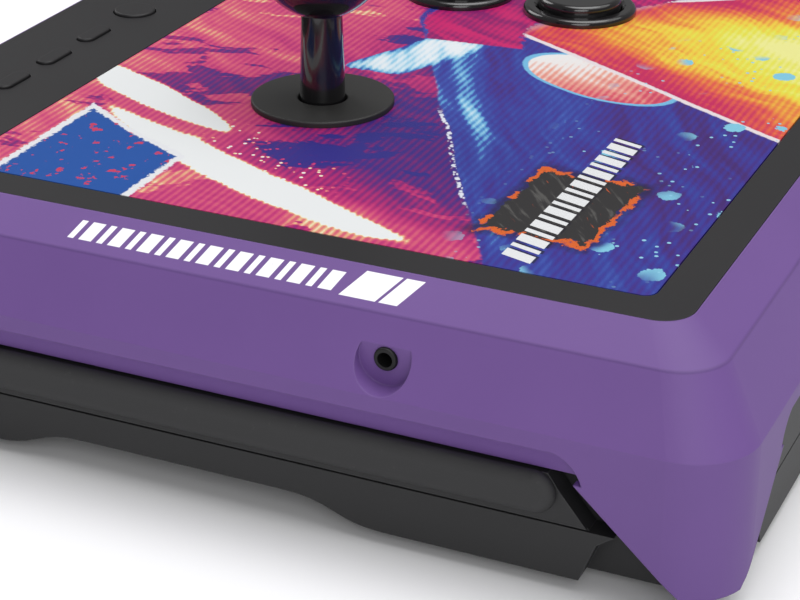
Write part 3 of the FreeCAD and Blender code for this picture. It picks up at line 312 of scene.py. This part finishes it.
# ---------------------------------------------------------------- printed panel
# Clear polycarbonate sheet, printed on its back with broad sweeps of paint under a line screen and
# glued to the steel plate. The print is built in millimetres from the sheet's front left corner, as
# a tone from dark to light, which each area turns into its own inks.
panel_low, panel_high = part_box("printed_panel")
printed = Finish("printed_panel")
object_place = printed.place()
sheet_place = printed.add("Mapping", {}, {"Vector": object_place,
                                          "Location": (-panel_low.x * 1000, -panel_low.y * 1000, 0),
                                          "Scale": (1000, 1000, 1000)})
sheet_width = (panel_high.x - panel_low.x) * 1000
full_u, full_v, _ = printed.axes(sheet_place)
# the right half carries the same sweeps, smaller and further forward
right_half = full_u.ramp(146.0, 200.0)
u = full_u.lowest(26.0 + (sheet_width - full_u) * 0.84)
v = full_v + right_half * 30.0


def streaks(finish, vector, turn, scale, stretch, swirl):
    """Long brush streaks along one direction, bent by a slow swirl."""
    eddy = finish.add("TexNoise", {}, {"Vector": vector, "Scale": 0.022, "Detail": 2.0}, output=1)
    bent = finish.add("VectorMath", {"operation": "MULTIPLY_ADD"},
                      {0: eddy, 1: (swirl, swirl, 0), 2: vector})
    turned = finish.add("Mapping", {"vector_type": "TEXTURE"},
                        {"Vector": bent, "Rotation": (0, 0, math.radians(turn)), "Scale": (stretch, 1, 1)})
    return finish.noise(turned, scale, 5.0, 0.62)


warm_streaks = streaks(printed, sheet_place, 62, 0.11, 5.0, 34.0)
cool_streaks = streaks(printed, sheet_place, 29, 0.13, 7.0, 22.0)
torn = (printed.noise(sheet_place, 0.55, 4.0, 0.7) - 0.5) * 4.0
slow = (printed.noise(sheet_place, 0.03, 2.0) - 0.5) * 16.0
screen = (full_v * (2 * math.pi / 2.0) + torn * 0.3).sin()


def inks(finish, tone, stops):
    return finish.add("ValToRGB", {"stops": [(at, srgb(*ink)) for at, ink in stops]}, {0: tone})


def stroke(line, half, soft):
    """1 along a brush stroke whose middle is where line is 0, fading over soft at its sides."""
    return ((line + torn * 0.5).abs() - half).ramp(soft, 0.0)


# warm areas: indigo shadows, magenta and pink middles, cream lights and two tapering cream blades
lit = v.ramp(88.0, 140.0).highest((u - (v - 96.0) * 0.35).ramp(48.0, 16.0) * 0.85)
warm_tone = 0.19 + lit * 0.40 + (warm_streaks - 0.5) * 0.46 + v.ramp(150.0, 185.0) * 0.05
long_blade = u - 9.0 - (v - 78.0) * 0.32 - (v - 78.0) * (v - 78.0) * 0.0016 + slow * 0.25
long_half = 4.8 - (v - 114.0) * (v - 114.0) * 0.0020
short_blade = u - 60.0 - (v - 156.0) * 0.48 + slow * 0.25
short_half = (v - 130.0) * 0.30 - (v - 130.0) * (v - 130.0) * 0.0045
blades = (stroke(long_blade, long_half, 3.6) * long_half.ramp(-2.0, 1.0)).highest(
    stroke(short_blade, short_half, 3.0) * short_half.ramp(-0.6, 1.2))
flicks = streaks(printed, sheet_place, 100, 0.055, 2.6, 30.0)
warm_tone = warm_tone - flicks.ramp(0.585, 0.61) * (1.0 - blades) * 0.30 + flicks.ramp(0.40, 0.37) * 0.16
warm_tone = warm_tone + blades * 0.75
glow = (u * u * 0.0030 + (v - 80.0) * (v - 80.0) * 0.006 + slow * 0.04).ramp(1.4, 0.2)
warm_tone = warm_tone + glow * 0.20
dots = printed.add("TexVoronoi", {"feature": "F1"},
                   {"Vector": sheet_place, "Scale": 0.42, "Randomness": 1.0})
dotted = stroke(long_blade - 15.0, 4.0, 9.0) * v.ramp(84.0, 96.0) * v.ramp(140.0, 124.0)
warm_tone = warm_tone + dots.ramp(0.30, 0.16) * dotted * 0.5
colour = inks(printed, warm_tone + screen * 0.065,
              [(0.0, (50, 44, 134)), (0.16, (66, 40, 130)), (0.28, (112, 34, 118)),
               (0.42, (176, 36, 112)), (0.54, (206, 58, 120)), (0.68, (226, 104, 122)),
               (0.78, (240, 184, 136)), (0.84, (246, 240, 196)), (0.90, (240, 241, 236)),
               (1.0, (240, 241, 238))])

# a royal blue patch with a torn white rim and red flecks, below the long blade
patch_side = (v - 134.0).lowest(170.0 - v).lowest(-5.2 - long_blade) + torn * 0.9
colour = printed.blend(patch_side.ramp(-2.4, -1.8), colour, srgb(236, 236, 236))
flecks = printed.noise(sheet_place, 0.30, 3.0, 0.6).ramp(0.60, 0.63)
patch_colour = printed.blend(flecks, srgb(28, 84, 164), srgb(206, 60, 96))
colour = printed.blend(patch_side.ramp(-0.3, 0.3), colour, patch_colour)

# cool sweep: everything in front of a line that climbs to the right
climb = v - 40.0 - u * 0.55 + slow * 0.25
cool = (climb + torn * 0.35).ramp(0.6, -0.6)
crest_line = v - 111.0 + (u - 118.0) * 0.42 + slow * 0.35
crest = stroke(crest_line, 5.0, 7.0) * (u + torn).ramp(100.0, 108.0) * (u + torn).ramp(142.0, 132.0)
cool_tone = 0.42 + (cool_streaks - 0.5) * 0.95 + climb.ramp(-30.0, -6.0) * 0.06
cool_tone = cool_tone - climb.ramp(-34.0, -60.0) * 0.10
cool_tone = cool_tone + crest * 0.42 + stroke(climb + 9.0, 1.0, 4.0) * u.ramp(40.0, 58.0) * 0.16
cool_colour = inks(printed, cool_tone + screen * 0.06,
                   [(0.0, (60, 30, 96)), (0.22, (70, 38, 118)), (0.36, (62, 50, 146)),
                    (0.48, (54, 66, 158)), (0.60, (62, 86, 174)), (0.68, (92, 160, 212)),
                    (0.78, (150, 208, 232)), (0.90, (214, 234, 242)), (1.0, (238, 243, 244))])
colour = printed.blend(cool.highest(crest.ramp(0.3, 0.4)), colour, cool_colour)
beads = printed.add("TexVoronoi", {"feature": "F1"},
                    {"Vector": sheet_place, "Scale": 0.50, "Randomness": 0.6})
chain = stroke(climb - 0.6, 0.35, 0.5) * beads.ramp(0.62, 0.45) * u.ramp(26.0, 32.0) * u.ramp(86.0, 80.0)
colour = printed.blend(chain, colour, srgb(232, 236, 244))

# a magenta wedge and a yellow field towards the middle, over a pink and cream lobe
lobe_u, lobe_v = u - 124.0, v - 57.0
lobe = lobe_u * lobe_u * 0.0042 + lobe_v * lobe_v * 0.0018 - lobe_u * lobe_v * 0.0022
lobe = lobe + torn * 0.015 + slow * 0.012
lobe_tone = 0.60 + (u - 112.0) * 0.010 + (warm_streaks - 0.5) * 0.35 + (v - 57.0) * 0.003
lobe_colour = inks(printed, lobe_tone + screen * 0.05,
                   [(0.0, (120, 34, 104)), (0.40, (180, 36, 92)), (0.56, (222, 84, 104)),
                    (0.70, (240, 170, 150)), (0.80, (244, 236, 230)), (1.0, (240, 240, 238))])
colour = printed.blend(lobe.ramp(0.94, 0.88), colour, srgb(120, 190, 226))
colour = printed.blend(lobe.ramp(0.80, 0.76), colour, lobe_colour)
field_line = u - 127.0 - (v - 47.0) * 0.55 + slow * 0.15
field_tone = 0.30 + field_line * 0.014 + (warm_streaks - 0.5) * 0.7
field_colour = inks(printed, field_tone + screen * 0.05,
                    [(0.0, (176, 18, 96)), (0.30, (206, 40, 92)), (0.44, (232, 96, 72)),
                     (0.56, (240, 150, 62)), (0.68, (246, 206, 66)), (0.82, (236, 232, 76)),
                     (1.0, (244, 240, 150))])
field_edge = field_line + torn * 0.3
field_end = v.ramp(96.0, 88.0)
colour = printed.blend(field_edge.ramp(-2.4, -1.6) * field_end, colour, srgb(238, 226, 226))
colour = printed.blend(field_edge.ramp(-0.4, 0.4) * field_end, colour, field_colour)
wedge_side = (u - 136.0 + (v - 98.0) * 0.1 + torn * 0.4).ramp(-0.5, 0.5)
wedge = wedge_side * (v - 99.0 - (u - 136.0) * 0.45 + torn * 2.0 + slow * 0.4).abs().ramp(16.0, 14.8)
wedge_tone = (warm_streaks + screen * 0.05).ramp(0.38, 0.64)
wedge_colour = printed.blend(wedge_tone, srgb(138, 20, 104), srgb(208, 30, 108))
colour = printed.blend(wedge, colour, wedge_colour)

# pale blue drops and specks thrown over the front of the print
drops = printed.add("TexVoronoi", {"feature": "SMOOTH_F1"},
                    {"Vector": sheet_place, "Scale": 0.085, "Smoothness": 0.2, "Randomness": 1.0})
specks = printed.add("TexVoronoi", {"feature": "F1"},
                     {"Vector": sheet_place, "Scale": 0.30, "Randomness": 1.0})
thrown = v.ramp(58.0, 40.0) * printed.noise(sheet_place, 0.045, 1.0).ramp(0.46, 0.56)
colour = printed.blend((drops + torn * 0.05).ramp(0.27, 0.25) * thrown, colour, srgb(134, 204, 226))
colour = printed.blend((specks + torn * 0.02).ramp(0.17, 0.14) * thrown, colour, srgb(150, 208, 230))

# a charcoal swipe with torn orange ends near the front left corner, under a row of slanted bars
swipe_u, swipe_v = full_u - 38.0, full_v - 35.0
scrape = printed.noise(sheet_place, 0.16, 5.0, 0.75)
ragged = swipe_u.abs().highest(swipe_v.abs() * 1.45 + swipe_u * swipe_v * 0.006) + (scrape - 0.5) * 11.0
colour = printed.blend(ragged.ramp(25.0, 19.0) * 0.75, colour, srgb(34, 26, 54))
colour = printed.blend(ragged.ramp(20.8, 20.2) * printed.noise(sheet_place, 0.12, 2.0).ramp(0.46, 0.50),
                       colour, srgb(226, 102, 40))
colour = printed.blend(ragged.ramp(18.6, 18.2), colour, srgb(50, 48, 48))
scores = streaks(printed, sheet_place, 38, 0.5, 9.0, 8.0)
colour = printed.blend(ragged.ramp(18.2, 17.0) * scores.ramp(0.54, 0.64) * 0.6, colour, srgb(104, 102, 98))
colour = printed.blend(ragged.ramp(18.2, 17.0) * scores.ramp(0.34, 0.31) * 0.9, colour, srgb(206, 90, 38))
stripe_u = full_u - (full_v - 35.0) * 0.30
stripe_widths = (3.8, 1.8) * 9
shadows = bars(printed, stripe_u - 0.7, 6.0, stripe_widths, 1.6) * (full_v - 33.9).abs().ramp(4.3, 3.8)
colour = printed.blend(shadows * 0.8, colour, srgb(30, 26, 36))
stripes = bars(printed, stripe_u, 6.0, stripe_widths, 1.6) * (full_v - 34.5).abs().ramp(4.0, 3.85)
colour = printed.blend(stripes, colour, srgb(238, 238, 236))

# the clear sheet takes a little of the light
colour = printed.add("Mix", {"data_type": "RGBA", "blend_type": "MULTIPLY"},
                     {0: 1.0, 6: colour, 7: (0.76, 0.77, 0.80, 1.0)}, output=2)
rounded = printed.soft_edges(0.0003)
haze = printed.noise(object_place, 30.0, 3.0)
texture = printed.noise(object_place, 3000.0, 2.0)
printed.set(Base_Color=colour, Roughness=0.40 + haze * 0.10, Specular_IOR_Level=0.22,
            Normal=printed.relief(texture, 0.00002, rounded, 0.2))
paint_node("printed_panel", printed)

# ---------------------------------------------------------------- lever
# A turned nylon dust washer lies loose on the panel and another slides under it. The shaft has a
# polished black sleeve, and the black ball top is screwed on to its end.
nylon = Finish("black_nylon")
place = nylon.place()
lever_low, lever_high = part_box("dust_washer")
lever_x, lever_y = (lever_low.x + lever_high.x) / 2, (lever_low.y + lever_high.y) / 2
centred = nylon.add("Mapping", {}, {"Vector": place, "Location": (-lever_x, -lever_y, 0)})
turned_x, turned_y, _ = nylon.axes(centred)
radius = nylon.add("Math", {"operation": "SQRT"}, {0: turned_x * turned_x + turned_y * turned_y})
rings = (radius * (2 * math.pi / 0.00035)).sin()
rounded = nylon.soft_edges(0.0003)
edge_highlight = nylon.painted_edge_highlight(rounded)
mottle = nylon.noise(place, 60.0, 3.0)
tone = nylon.blend(mottle, srgb(27, 27, 27), srgb(35, 34, 33))
# the washer's rim lightened strongly towards grey: a painted rim highlight
tone = nylon.blend(edge_highlight * 0.8, tone, srgb(92, 90, 84))
nylon.set(Base_Color=tone, Roughness=0.50 + mottle * 0.12,
          Normal=nylon.relief(rings + mottle * 2.0, 0.000006, rounded, 0.6))
for node in ("dust_washer", "dust_slide", "lever_actuator", "pivot_ring"):
    paint_node(node, nylon)

gloss = Finish("polished_black")
place = gloss.place()
rounded = gloss.soft_edges(0.0003)
mottle = gloss.noise(place, 40.0, 3.0)
smear = gloss.noise(place, 90.0, 4.0, 0.6)
gloss.set(Base_Color=gloss.blend(mottle, srgb(18, 17, 18), srgb(24, 23, 25)), Roughness=0.08 + smear * 0.10,
          Coat_Weight=0.4, Normal=gloss.relief(smear, 0.00002, rounded, 0.15))
for node in ("shaft_cover", "ball_top"):
    paint_node(node, gloss)

# ---------------------------------------------------------------- buttons
# Eight 30 mm buttons, housings and caps in the same polished black plastic; each housing snaps
# into the steel plate. The small tact and slide switches behind the strip shine like them.
for node in ("button_housings", "function_switches"):
    paint_node(node, gloss)
for number in range(1, 9):
    paint_node("button_cap_%d" % number, gloss)

# ---------------------------------------------------------------- headphone socket
# Glass-filled nylon body with a moulded ring round the bore, soldered to its own small board.
# The fibres leave a faint streaky grain.
socket = Finish("socket_nylon")
place = socket.place()
rounded = socket.soft_edges(0.00015)
fibres = socket.noise(place, 1500.0, 3.0, 0.6, (1.0, 0.3, 0.3))
socket.set(Base_Color=socket.blend(fibres, srgb(15, 15, 16), srgb(25, 25, 26)),
           Roughness=0.40 + fibres * 0.2, Specular_IOR_Level=0.3,
           Normal=socket.relief(fibres, 0.00002, rounded, 0.3))
paint_node("jack_socket", socket)

# ---------------------------------------------------------------- player lights
# Four clear acrylic light guides, pressed into holes in the strip. The first is lit, by a small
# lamp on the board behind it.
guide = Finish("light_guide")
place = guide.place()
first_light_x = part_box("light_windows")[1].x
lit_one = guide.axes(place)[0].ramp(first_light_x - 0.0045, first_light_x - 0.0035)
frost = guide.noise(place, 1800.0, 2.0)
glow_colour = guide.blend(lit_one, (0.0, 0.0, 0.0, 1.0), srgb(150, 190, 255))
guide.set(Base_Color=guide.blend(frost, srgb(196, 200, 206), srgb(224, 226, 230)),
          Roughness=0.30 + frost * 0.2, Emission_Color=glow_colour, Emission_Strength=1.6,
          Normal=guide.relief(frost, 0.00002, None, 0.3))
paint_node("light_windows", guide)

# ---------------------------------------------------------------- rubber
# Grip pads and feet are moulded in soft black rubber and glued on: the pads along the side blocks,
# the feet under the tray. Dust clings to them.
rubber = Finish("soft_rubber")
place = rubber.place()
rounded = rubber.soft_edges(0.0004)
mottle = rubber.noise(place, 40.0, 3.0)
dust = rubber.noise(place, 420.0, 4.0, 0.7)
tone = rubber.blend(mottle, srgb(36, 36, 37), srgb(43, 43, 44))
tone = rubber.blend(dust.ramp(0.62, 0.8) * 0.2, tone, srgb(96, 94, 92))
rubber.set(Base_Color=tone, Roughness=0.62 + mottle * 0.12,
           Normal=rubber.relief(dust, 0.00004, rounded, 0.3))
for node in ("grip_pads", "rubber_feet"):
    paint_node(node, rubber)

# ---------------------------------------------------------------- metal
# Zinc plated steel for screws, plates, hinges, latch striker and socket shell, and ground steel
# for the lever's shaft, clip and spring, all with a fine brushed grain.
zinc = Finish("zinc_steel")
place = zinc.place()
brushed = zinc.noise(place, 120.0, 3.0, 0.6, (1.0, 12.0, 12.0))
mottle = zinc.noise(place, 60.0, 3.0)
rounded = zinc.soft_edges(0.0002)
zinc.set(Base_Color=zinc.blend(mottle, srgb(150, 151, 150), srgb(176, 176, 170)), Metallic=1.0,
         Roughness=0.32 + brushed * 0.2, Normal=zinc.relief(brushed, 0.00002, rounded, 0.25))
for node in ("weight_plate", "base_screws", "hinge_pins", "frame_screws", "hinge_arms", "latch_striker",
             "lever_plate", "lever_screws", "housing_screws", "shaft_clip", "usb_socket", "lever_shaft",
             "lever_spring", "board_spacers", "top_plate"):
    paint_node(node, zinc)

# ---------------------------------------------------------------- boards
# Glass-fibre circuit boards under a green solder mask, standing on spacers inside the lid; the
# weave shows faintly through.
board = Finish("circuit_board")
place = board.place()
weave = board.noise(place, 900.0, 2.0)
board.set(Base_Color=board.blend(weave, srgb(20, 74, 44), srgb(28, 92, 54)), Roughness=0.35,
          Normal=board.relief(weave, 0.00003, None, 0.3))
for node in ("jack_board", "function_board", "main_board"):
    paint_node(node, board)
